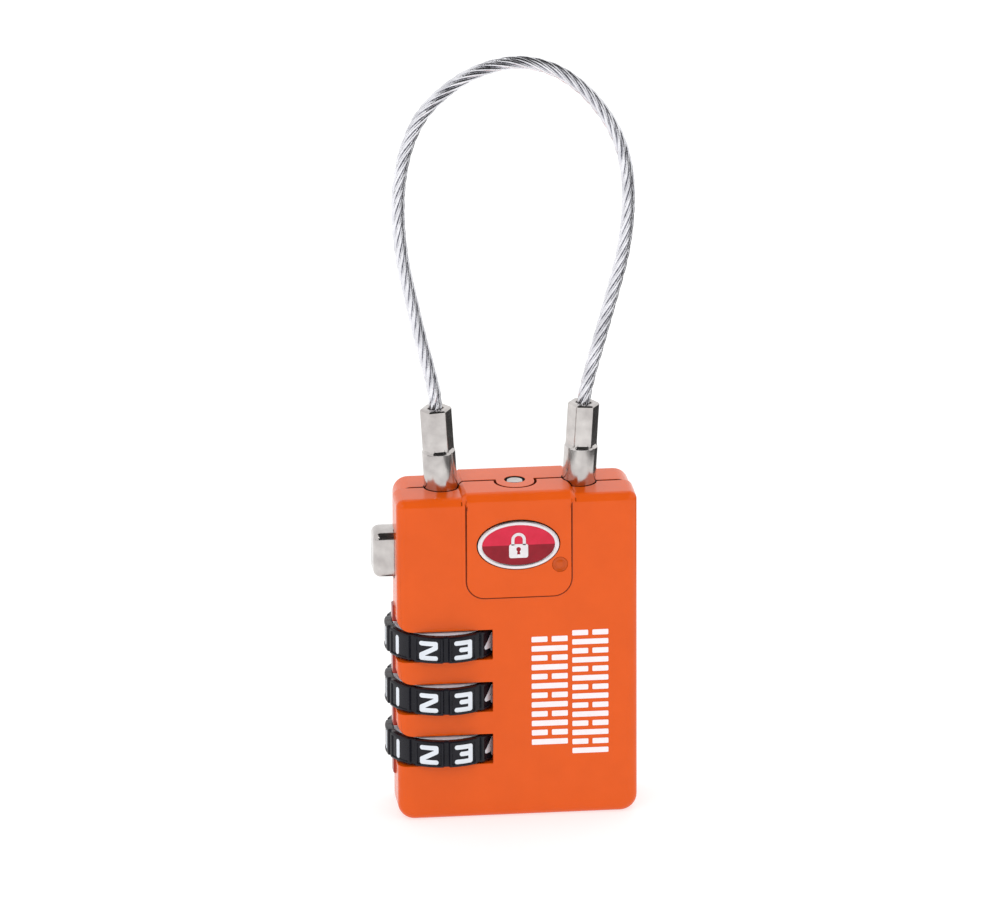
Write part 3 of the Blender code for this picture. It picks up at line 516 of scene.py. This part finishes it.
def make_rivet():
    """A dish with a small domed rivet, set into the panel's lower right corner."""
    profile = (
        (1.0, -5.5), (1.0, -6.0), (0.97, -6.04), (0.92, -6.03), (0.82, -5.93), (0.68, -5.86),
        (0.58, -5.87), (0.5, -5.93), (0.36, -5.98), (0.18, -6.0), (0.04, -6.0),
    )
    loops = [[(u, y, v) for u, v in ellipse(DIMPLE_AT, radius, radius, 48)] for radius, y in profile]
    # The rivet takes the same darker orange: painted shade.
    rivet = mesh_object("panel_rivet", loft(loops), DIMPLE_SHADE)
    rivet.data.shade_smooth()
    rivet.data.set_sharp_from_angle(angle=math.radians(60))
    place(rivet, "body", "paint")


# ---------------------------------------------------------------- cable

SEAT, MOUTH, CABLE_R = 5.2, 10.9, 0.875
ROUTE = (
    (-10.5, 57.6), (-11.4, 61.5), (-12.4, 65.6), (-13.3, 69.8), (-14.2, 74.0),
    (-14.75, 78.0), (-14.95, 82.0), (-14.75, 86.0), (-13.85, 90.4), (-12.0, 94.5),
    (-9.0, 97.75), (-4.8, 100.4), (0.2, 101.55), (4.8, 100.65), (8.6, 98.2),
    (11.6, 94.8), (13.7, 91.0), (14.8, 87.0), (15.1, 83.0), (14.9, 79.0),
    (14.3, 75.0), (13.3, 71.0), (12.2, 67.0), (11.1, 63.0), (9.9, 58.6),
)
STRANDS, STRAND_R, LAY, WIRE_LAY = 6, 0.285, 12.0, 4.5


def on_axis(side, along):
    """A point on a ferrule's leaning axis: side 0 is the captive one, 1 the release one."""
    lean = (-1, 1)[side] * along * math.sin(TILT)
    return Vector((FERRULE_X[side] + lean, 0, BODY_H + along * math.cos(TILT)))


def catmull_rom(points, per_span):
    ends = [2 * points[0] - points[1]] + points + [2 * points[-1] - points[-2]]
    made = []
    for i in range(1, len(ends) - 2):
        p0, p1, p2, p3 = ends[i - 1: i + 3]
        for step in range(per_span):
            t = step / per_span
            made.append(0.5 * (
                2 * p1 + (p2 - p0) * t + (2 * p0 - 5 * p1 + 4 * p2 - p3) * t * t
                + (3 * p1 - p0 - 3 * p2 + p3) * t * t * t
            ))
    return made + [ends[-2]]


def cable_route():
    inside = (SEAT + 0.3, MOUTH - 2.5, MOUTH + 0.4)
    start = [on_axis(0, along) for along in inside]
    end = [on_axis(1, along) for along in reversed(inside)]
    return catmull_rom(start + [Vector((x, 0, z)) for x, z in ROUTE] + end, 12)


def strand_section(turn):
    """One strand's outline, lobed by its six outer wires, as points around its own centre."""
    points = []
    for i in range(18):
        angle = math.tau * i / 18
        lobe = 0.86 + 0.18 * abs(math.cos(3 * (angle - turn)))
        points.append((STRAND_R * lobe * math.cos(angle), STRAND_R * lobe * math.sin(angle)))
    return points


def make_cable():
    route = cable_route()
    bm = bmesh.new()
    along = [0.0]
    for a, b in zip(route, route[1:]):
        along.append(along[-1] + (b - a).length)
    depth = Vector((0, 1, 0))
    ring_radius = CABLE_R - STRAND_R * 1.02
    for strand in range(STRANDS + 1):
        offset = ring_radius if strand < STRANDS else 0.0
        rings = []
        for i, point in enumerate(route):
            ahead = route[min(i + 1, len(route) - 1)] - route[max(i - 1, 0)]
            across = depth.cross(ahead.normalized())
            turn = math.tau * (strand / STRANDS + along[i] / LAY)
            centre = point + offset * (math.cos(turn) * across + math.sin(turn) * depth)
            section = strand_section(turn - math.tau * along[i] / WIRE_LAY)
            rings.append([bm.verts.new(centre + u * across + v * depth) for u, v in section])
        count = len(rings[0])
        for low, high in zip(rings, rings[1:]):
            for i in range(count):
                j = (i + 1) % count
                bm.faces.new((low[i], low[j], high[j], high[i]))
        bm.faces.new(rings[0])
        bm.faces.new(rings[-1])
    bmesh.ops.recalc_face_normals(bm, faces=bm.faces)
    for face in bm.faces:
        face.smooth = True
    cable = mesh_object("cable_strands", bm, WIRE)
    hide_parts("cable")
    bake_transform(cable)


# ---------------------------------------------------------------- ferrules

def hexagon(angle, flat):
    """Radius of a hexagon with its flats facing the front and back."""
    part = (angle + math.radians(90)) % math.radians(60)
    return flat / math.cos(part - math.radians(60) * round(part / math.radians(60)))


PIN_R, CRIMP_R, CRIMP_FLAT, FERRULE_STEPS = 2.2, 2.07, 1.83, 96
SOCKET = MOUTH - 0.5
# Piece, its body, its lowest point, and the top, bottom and radius of its groove
FERRULES = (
    ("captive_ferrule", "body", -5.2, (-3.95, -4.8, 1.55)),
    ("release_ferrule", "release", -13.6, (-7.4, -10.1, 1.3)),
)
ROUND, CRIMPED, BETWEEN = range(3)


def ferrule_rows(low, groove):
    """Height along the axis, radius and section of each row, from the cable's socket down to the foot."""
    rows = [(SOCKET, 1.02, ROUND), (MOUTH - 0.12, 1.04, ROUND), (MOUTH, 1.16, ROUND)]
    rows += [(MOUTH, CRIMP_R - 0.28, CRIMPED), (MOUTH - 0.06, CRIMP_R - 0.12, CRIMPED)]
    rows += [(along, CRIMP_R, CRIMPED) for along in (MOUTH - 0.25, 8.0, 6.0, 5.3)]
    rows += [(5.1, PIN_R - 0.1, BETWEEN), (4.95, PIN_R - 0.03, ROUND)]
    rows += [(4.8, PIN_R, ROUND), (0.0, PIN_R, ROUND)]
    top, bottom, radius = groove
    rows += [(top, PIN_R, ROUND), (top, radius, ROUND), (bottom, radius, ROUND), (bottom, PIN_R, ROUND)]
    return rows + [(low + 0.3, PIN_R, ROUND), (low, PIN_R - 0.3, ROUND)]


def make_ferrules():
    for side, (name, body, low, groove) in enumerate(FERRULES):
        loops = []
        for along, radius, section in ferrule_rows(low, groove):
            loop = []
            for i in range(FERRULE_STEPS):
                angle = math.tau * i / FERRULE_STEPS
                flat = CRIMP_FLAT + (radius - CRIMP_R) * (section == CRIMPED)
                shaped = min(radius, hexagon(angle, flat))
                if section == BETWEEN:
                    shaped = (shaped + radius) / 2
                reach = radius if section == ROUND else shaped
                loop.append((reach * math.cos(angle), reach * math.sin(angle), along))
            loops.append(loop)
        bm = loft(loops, closed=False)
        top = [v for v in bm.verts if abs(v.co.z - SOCKET) < 1e-4]
        bottom = [v for v in bm.verts if abs(v.co.z - low) < 1e-4]
        for ring in (top, bottom):
            ring.sort(key=lambda v: math.atan2(v.co.y, v.co.x))
            bm.faces.new(ring)
        bmesh.ops.recalc_face_normals(bm, faces=bm.faces)
        lean = (-TILT, TILT)[side]
        turn = Matrix.Translation((FERRULE_X[side], 0, BODY_H)) @ Matrix.Rotation(lean, 4, "Y")
        bmesh.ops.transform(bm, matrix=turn, verts=bm.verts)
        piece = mesh_object(name + "_crimped", bm, NICKEL)
        piece.data.shade_smooth()
        piece.data.set_sharp_from_angle(angle=math.radians(20))
        place(piece, body, "nickel", name)


# ---------------------------------------------------------------- dials

DIAL_R, WINDOW_R, FLUTE_R, RING_BORE, RING_HALF = 7.6, 7.43, 7.3, 6.6, 1.8
PITCH = 36
FIRST_NUMERAL = -92.0  # angle of the "0", from the front towards the right
NUMERAL_H, NUMERAL_W, NUMERAL_DROP, STROKE = 2.62, 2.52, 0.1, 0.31
INK_OUT, INK_IN, INK_GRID, INK_MARGIN = 0.02, 0.06, 0.05, 0.1
# Edges of the numerals' sunk windows and of the flutes: degrees or height, and the width of the slope
WINDOW_TURN, WINDOW_H, FLUTE_TURN, RING_ROUND = (12.6, 0.6), (1.48, 0.08), (14.6, 1.2), 0.22
# Strokes of each numeral as chains of corners in a box from (0, 0) to (1, 1)
NUMERALS = {
    0: [[(0.3, 0), (0.7, 0), (0.7, 1), (0.3, 1), (0.3, 0)]],
    1: [[(0.36, 0), (0.36, 1)]],
    2: [[(0, 1), (1, 1), (1, 0.72), (0, 0.22), (0, 0), (1, 0)]],
    3: [[(0, 1), (1, 1), (1, 0), (0, 0)], [(1, 0.52), (0.35, 0.52)]],
    4: [[(0.72, 0), (0.72, 1), (0, 0.3), (1, 0.3)]],
    5: [[(1, 1), (0, 1), (0, 0.58), (1, 0.5), (1, 0), (0, 0)]],
    6: [[(0.9, 1), (0, 0.6), (0, 0), (1, 0), (1, 0.52), (0, 0.52)]],
    7: [[(0, 1), (1, 1), (0.3, 0)]],
    8: [[(0, 0), (1, 0), (1, 1), (0, 1), (0, 0)], [(0, 0.52), (1, 0.52)]],
    9: [[(0.1, 0), (1, 0.4), (1, 1), (0, 1), (0, 0.48), (1, 0.48)]],
}


def ring_radius(turn, height):
    """The ring's outer radius, at degrees and a height from the middle of a numeral."""
    turn = abs(turn)
    flute = min(1.0, max(0.0, (turn - FLUTE_TURN[0]) / FLUTE_TURN[1]))
    window = min(1.0, max(0.0, (WINDOW_TURN[0] - turn) / WINDOW_TURN[1]))
    window *= min(1.0, max(0.0, (WINDOW_H[0] - abs(height)) / WINDOW_H[1]))
    edge = max(0.0, abs(height) - (RING_HALF - RING_ROUND))
    chamfer = RING_ROUND - math.sqrt(max(0.0, RING_ROUND ** 2 - edge ** 2))
    return DIAL_R - (DIAL_R - FLUTE_R) * flute - (DIAL_R - WINDOW_R) * window - chamfer


def make_ring(name, body, z):
    turns = [-18, -15.8, -15.2, -14.6, -12.6, -12.0, -8, -4, 0, 4, 8, 12.0, 12.6, 14.6, 15.2, 15.8]
    edge = [RING_HALF - RING_ROUND * (1 - math.sin(math.radians(a))) for a in (0, 22.5, 45, 67.5, 90)]
    heights = [1.0, 1.4, 1.48] + edge
    heights = [-h for h in reversed(heights)] + [0.0] + heights
    loops = [[] for _ in range(len(heights) + 4)]
    for numeral in range(10):
        middle = FIRST_NUMERAL + PITCH * numeral
        for turn in turns:
            angle = math.radians(middle + turn)
            section = [(RING_BORE, -RING_HALF + 0.1), (RING_BORE + 0.1, -RING_HALF)]
            section += [(ring_radius(turn, h), h) for h in heights]
            section += [(RING_BORE + 0.1, RING_HALF), (RING_BORE, RING_HALF - 0.1)]
            for loop, (radius, height) in zip(loops, section):
                x, y = DIAL_X + radius * math.sin(angle), -radius * math.cos(angle)
                loop.append((x, y, z + height))
    bm = loft(loops + loops[:1], closed=False)
    bmesh.ops.remove_doubles(bm, verts=bm.verts, dist=0.0005)
    bmesh.ops.recalc_face_normals(bm, faces=bm.faces)
    ring = mesh_object(name + "_ring", bm, BLACK)
    ring.data.shade_smooth()
    ring.data.set_sharp_from_angle(angle=math.radians(28))
    return place(ring, body, "dial_black", name)


def numeral_faces(strokes):
    """Cells of a fine grid that lie in the strokes, cut along the strokes' outline."""
    columns, rows = [
        np.arange(-size / 2 - INK_MARGIN, size / 2 + INK_MARGIN, INK_GRID)
        for size in (NUMERAL_W, NUMERAL_H)
    ]
    u, v = np.meshgrid(columns, rows, indexing="ij")
    far = np.full(u.shape, np.inf)
    spread = np.array([NUMERAL_W - 2 * STROKE, NUMERAL_H - 2 * STROKE])
    for chain in strokes:
        corners = (np.array(chain) - 0.5) * spread
        for a, b in zip(corners, corners[1:]):
            d = b - a
            t = np.clip(((u - a[0]) * d[0] + (v - a[1]) * d[1]) / d.dot(d), 0, 1)
            far = np.minimum(far, np.hypot(u - a[0] - t * d[0], v - a[1] - t * d[1]))
    level = far - STROKE
    points, faces = {}, []
    for i in range(len(columns) - 1):
        for j in range(len(rows) - 1):
            cell = [(i, j), (i + 1, j), (i + 1, j + 1), (i, j + 1)]
            if min(level[c] for c in cell) >= 0:
                continue
            face = []
            for a, b in zip(cell, cell[1:] + cell[:1]):
                if level[a] < 0:
                    points[a] = (u[a], v[a])
                    face.append(a)
                if (level[a] < 0) != (level[b] < 0):
                    key = (min(a, b), max(a, b))
                    t = level[key[0]] / (level[key[0]] - level[key[1]])
                    points[key] = tuple(
                        (1 - t) * grid[key[0]] + t * grid[key[1]] for grid in (u, v)
                    )
                    face.append(key)
            faces.append(face)
    return points, faces


def make_numerals(name, body, z):
    bm = bmesh.new()
    for numeral, strokes in NUMERALS.items():
        points, faces = numeral_faces(strokes)
        middle = math.radians(FIRST_NUMERAL + PITCH * numeral)
        layers = []
        for radius in (WINDOW_R + INK_OUT, WINDOW_R - INK_IN):
            layer = {}
            for key, (u, v) in points.items():
                angle = middle + u / WINDOW_R
                layer[key] = bm.verts.new((
                    DIAL_X + radius * math.sin(angle), -radius * math.cos(angle), z + v,
                ))
            layers.append(layer)
        edges = {}
        for face in faces:
            bm.faces.new([layers[0][key] for key in face])
            for a, b in zip(face, face[1:] + face[:1]):
                if edges.pop((b, a), None) is None:
                    edges[(a, b)] = True
        for a, b in edges:
            bm.faces.new((layers[0][b], layers[0][a], layers[1][a], layers[1][b]))
    made = mesh_object(name + "_numerals", bm, WHITE)
    made.data.shade_smooth()
    made.data.set_sharp_from_angle(angle=math.radians(40))
    return place(made, body, "dial_white")


def make_dials():
    for name, z in zip(DIALS, DIAL_Z):
        make_ring(name, name, z)
        make_numerals(name, name, z - NUMERAL_DROP)


# ---------------------------------------------------------------- button, badge, print

BUTTON_ROOT, BUTTON_Z, BUTTON_HALF_Y, BUTTON_R = -13.2, (32.55, 38.8), 2.35, 1.0
FLANGE_X, FLANGE_Y, FLANGE_Z = (-13.7, -13.0), (-3.2, 3.2), (30.5, 38.2)
WEDGE = ((-13.5, 30.6), (-12.95, 30.6), (-8.35, 35.2), (-13.5, 35.2))


def make_button():
    """The button's rounded cap, with the flange and the wedge that work the latch behind it."""
    half = (-BUTTON_HALF_Y, BUTTON_HALF_Y)
    loops = []
    for i in range(7):
        turn = math.radians(90 * i / 6)
        inset = BUTTON_R * (1 - math.sin(turn))
        x = BUTTON_LOW.x + BUTTON_R * (1 - math.cos(turn))
        y, z = [(low + inset, high - inset) for low, high in (half, BUTTON_Z)]
        loops.append([(x, u, v) for u, v in rounded(y, z, BUTTON_R + 0.06 - inset, 6)])
    loops.append([(BUTTON_ROOT, u, v) for u, v in rounded(half, BUTTON_Z, BUTTON_R + 0.06, 6)])
    cap = mesh_object("button_cap", loft(loops), NICKEL)
    combine(cap, block(FLANGE_X, FLANGE_Y, FLANGE_Z), "UNION", NICKEL)
    combine(cap, prism(WEDGE, -1.5, 1.5, "XZ"), "UNION", NICKEL)
    cap.data.shade_smooth()
    cap.data.set_sharp_from_angle(angle=math.radians(35))
    place(cap, "button", "nickel", "push_button")


def plaque(name, bm, material, slot, *nodes):
    """A flat piece on the front of the body."""
    obj = mesh_object(name, bm, material)
    obj.data.shade_smooth()
    obj.data.set_sharp_from_angle(angle=math.radians(35))
    return place(obj, "body", slot, *nodes)


ENAMEL_INSET, ENAMEL_Y, SIGN_Y, KEYHOLE_Y = 0.55, (-6.2, -5.85), (-6.27, -6.1), (-6.29, -6.2)


def make_badge():
    """A plain oval badge: silver rim, two tones of enamel and a padlock sign."""
    profile = (
        (0.0, -5.8), (0.0, -6.2), (0.05, -6.27), (0.13, -6.3), (0.44, -6.3), (0.52, -6.27),
        (0.57, -6.2), (0.57, -5.8),
    )
    loops = [
        [(u, y, v) for u, v in ellipse(BADGE_MIDDLE, BADGE_A - inset, BADGE_B - inset)]
        for inset, y in profile
    ]
    plaque("badge_rim", loft(loops + loops[:1], closed=False), SILVER, "nickel", "badge_plate")
    a, b = BADGE_A - ENAMEL_INSET, BADGE_B - ENAMEL_INSET
    upper = prism(ellipse(BADGE_MIDDLE, a, b, 48, 0.0, 180.0), *ENAMEL_Y, "XZ")
    plaque("badge_enamel_upper", upper, RED, "enamel_red", "badge_inlay")
    lower = prism(ellipse(BADGE_MIDDLE, a, b, 48, 180.0, 360.0), *ENAMEL_Y, "XZ")
    plaque("badge_enamel_lower", lower, DARK_RED, "enamel_red")
    x, z = BADGE_MIDDLE
    case = prism(rounded((x - 1.25, x + 1.25), (z - 1.75, z + 0.15), 0.3), *SIGN_Y, "XZ")
    plaque("badge_sign_case", case, SILVER, "nickel")
    outer = [(x + 0.95, z), *arc((x, z + 0.75), 0.95, 0, 180, 20), (x - 0.95, z)]
    inner = [(x + 0.55, z), *arc((x, z + 0.75), 0.55, 0, 180, 20), (x - 0.55, z)]
    shackle = prism(outer + inner[::-1], *SIGN_Y, "XZ")
    plaque("badge_sign_shackle", shackle, SILVER, "nickel")
    keyhole = arc((x, z - 0.55), 0.3, -60, 240, 16) + [(x - 0.22, z - 1.25), (x + 0.22, z - 1.25)]
    plaque("badge_sign_keyhole", prism(keyhole, *KEYHOLE_Y, "XZ"), DARK_RED, "enamel_red")


# Columns of plain bars: left, right, bottom, top, number of bars
BAR_COLUMNS = ((1.6, 6.36, 9.9, 24.9, 12), (6.96, 11.72, 8.5, 25.6, 14))
BAR_SHARE, BAR_SPLIT, PRINT_Y = 0.58, 0.55, (-BODY_T / 2 - 0.03, -BODY_T / 2 + 0.02)


def make_print():
    """Two columns of plain bars where a printed mark would be."""
    bm = bmesh.new()
    for left, right, bottom, top, count in BAR_COLUMNS:
        pitch = (top - bottom) / (count - 1 + BAR_SHARE)
        middle = (left + right) / 2
        for i in range(count):
            z = bottom + pitch * i
            spans = [(left, right)]
            if i % 2:
                spans = [(left, middle - BAR_SPLIT / 2), (middle + BAR_SPLIT / 2, right)]
            for span in spans:
                bar = prism(rounded(span, (z, z + pitch * BAR_SHARE), 0.12, 3), *PRINT_Y, "XZ")
                part = bpy.data.meshes.new("bar")
                bar.to_mesh(part)
                bar.free()
                bm.from_mesh(part)
                bpy.data.meshes.remove(part)
    plaque("print_bars", bm, PRINT, "dial_white")


# ---------------------------------------------------------------- room

# Dark cards that shape the reflections: name, place, the point faced, and size in metres
FLAGS = (
    ("flag_front", (0.0, -0.6, 0.38), (0.0, 0.0, 0.38), (0.9, 0.66)),
    ("flag_roof", (0.0, -0.2, 0.71), (0.0, -0.2, 0.0), (0.9, 0.8)),
    ("flag_floor", (0.17, 0.12, 0.001), (0.17, 0.12, 1.0), (0.16, 0.2)),
    ("flag_right", (0.42, -0.1, 0.002), (0.42, -0.1, 1.0), (0.5, 0.9)),
    ("flag_left", (-0.45, -0.25, 0.002), (-0.45, -0.25, 1.0), (0.36, 0.5)),
)
# Square lamps: name, place, side in metres, power in watts, seen in reflections
LAMPS = (
    ("key", (-0.25, -0.6, 0.45), 0.4, 0.6, False),
    ("top", (0.1, 0.25, 0.8), 0.5, 0.5, False),
    ("spark", (-0.28, -0.40, 0.40), 0.03, 0.08, True),
)
LIT_POINT = (0.0, 0.0, 0.045)


def floor_material():
    made = Nodes("pale_floor").set(Roughness=0.7, Emission_Strength=0.6)
    made.set(Emission_Color=(1.0, 1.0, 1.0, 1.0))
    made.join(made.ramp(made.noise(30.0, 2.0), grey(0.46), grey(0.48)), "Base Color")
    return made.material


def make_room():
    bm = bmesh.new()
    bmesh.ops.create_grid(bm, x_segments=8, y_segments=8, size=6.0)
    floor = mesh_object("floor", bm, floor_material(), scale=1.0)
    world = bpy.data.worlds.new("studio")
    bpy.context.scene.world = world
    world.use_nodes = True
    world.node_tree.nodes["Background"].inputs["Color"].default_value = (1.0, 1.0, 1.0, 1.0)
    world.node_tree.nodes["Background"].inputs["Strength"].default_value = 1.0
    black = plastic_material("flag_cloth", grey(0.02), grey(0.03), (0.8, 0.9))
    for name, spot, target, size in FLAGS:
        flag(name, spot, target, size, black)


def facing(obj, spot, target):
    obj.location = spot
    obj.rotation_euler = (Vector(target) - Vector(spot)).to_track_quat("-Z", "Y").to_euler()
    return obj


def flag(name, spot, target, size, material):
    """A dark card that only reflections see."""
    bm = bmesh.new()
    bmesh.ops.create_grid(bm, x_segments=4, y_segments=4, size=0.5)
    bmesh.ops.scale(bm, vec=(*size, 1.0), verts=bm.verts)
    card = facing(mesh_object(name, bm, material, scale=1.0), spot, target)
    card.visible_camera = card.visible_diffuse = card.visible_shadow = False


def make_lights():
    for name, spot, side, power, glossy in LAMPS:
        data = bpy.data.lights.new(name, "AREA")
        data.shape = "RECTANGLE"
        data.size = data.size_y = side
        data.energy = power
        light = facing(link(bpy.data.objects.new(name, data)), spot, LIT_POINT)
        light.visible_glossy = glossy


def make_camera():
    azimuth, elevation = math.radians(VIEW_AZIMUTH), math.radians(VIEW_ELEVATION)
    level = math.cos(elevation)
    back = Vector((math.sin(azimuth) * level, -math.cos(azimuth) * level, math.sin(elevation)))
    turn = (-back).to_track_quat("-Z", "Y").to_matrix()
    aim = Vector((0, 0, AIM_HEIGHT)) + turn @ Vector((AIM_RIGHT, AIM_UP, 0))
    roll = Matrix.Rotation(math.radians(VIEW_ROLL), 3, "Z")
    data = bpy.data.cameras.new("camera")
    data.sensor_width = 36.0
    data.lens = data.sensor_width * VIEW_DISTANCE / VIEW_WIDTH
    data.clip_start, data.clip_end = 0.05, 20.0
    camera = link(bpy.data.objects.new("camera", data))
    camera.location = aim + back * VIEW_DISTANCE
    camera.rotation_euler = (turn @ roll).to_euler()
    bpy.context.scene.camera = camera
    bpy.context.scene.view_settings.view_transform = "Standard"


make_camera()
make_room()
make_lights()
finish_cad_nodes()
make_shell("front_shell", -1)
make_shell("back_shell", 1)
make_rivet()
make_cable()
make_ferrules()
make_dials()
make_button()
make_badge()
make_print()
